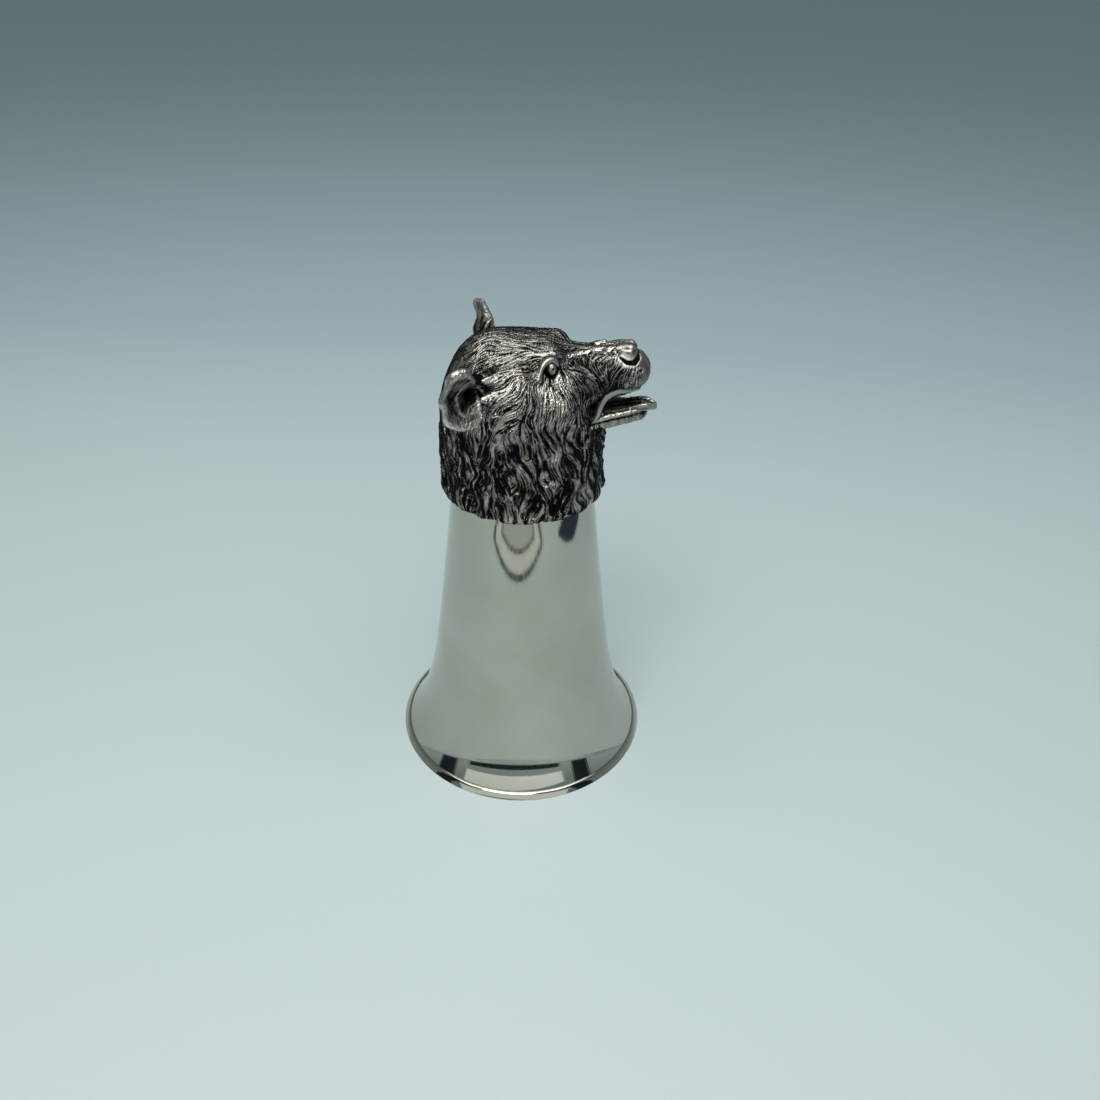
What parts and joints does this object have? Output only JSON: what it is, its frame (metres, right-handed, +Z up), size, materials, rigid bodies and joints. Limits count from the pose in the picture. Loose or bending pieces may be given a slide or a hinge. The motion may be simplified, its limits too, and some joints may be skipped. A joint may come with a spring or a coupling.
{
  "type": "stirrup cup",
  "caption": "Stirrup cup: a flared polished beaker that stands on its mouth, its closed end set in a cast bear's head with open jaws.",
  "frame": {"origin": "centre of the rim, in the plane that the cup stands on", "axes": "+Z up along the cup's axis, +X the way the bear looks, +Y its left"},
  "size_m": [0.07, 0.07, 0.121],
  "materials": {
    "polished_pewter": "polished, with faint upright brush lines",
    "antiqued_pewter": "cast and antiqued: black in the hollows, bright on the worn ridges",
    "solder": "dull"
  },
  "bodies": {
    "root": {"cup_shell": "polished_pewter", "rim_wire": "polished_pewter", "solder_joint": "solder", "head_casting": "antiqued_pewter", "lower_jaw": "antiqued_pewter", "tongue": "antiqued_pewter", "left_ear": "antiqued_pewter", "right_ear": "antiqued_pewter", "left_eye": "antiqued_pewter", "right_eye": "antiqued_pewter"}
  },
  "joints": []
}
